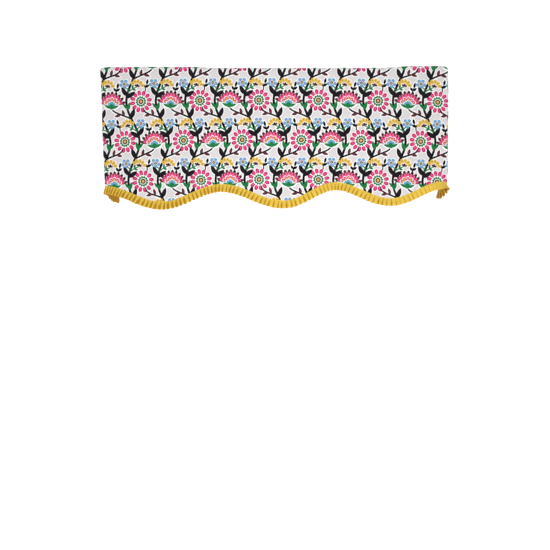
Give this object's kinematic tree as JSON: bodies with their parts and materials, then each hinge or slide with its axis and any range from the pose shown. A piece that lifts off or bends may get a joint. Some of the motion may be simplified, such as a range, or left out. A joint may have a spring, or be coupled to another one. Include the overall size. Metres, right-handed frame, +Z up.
{
  "type": "window valance",
  "caption": "Scalloped cloth window valance with short returns to the wall and a knife-pleated trim along its lower edge.",
  "frame": {"origin": "middle of the top edge of the panel, on its crest, where the valance is held", "axes": "+Z up, -Y out of the front face into the room, +Y towards the wall, +X to the right seen from the room"},
  "size_m": [1.1592, 0.0983, 0.473],
  "materials": {
    "printed_cloth": "matt printed cotton, light grey ground with a many-coloured floral repeat",
    "trim_cloth": "matt golden yellow plain-weave cotton, pressed into knife pleats"
  },
  "bodies": {
    "root": {"panel": "printed_cloth", "pleated_trim": "trim_cloth"}
  },
  "joints": []
}
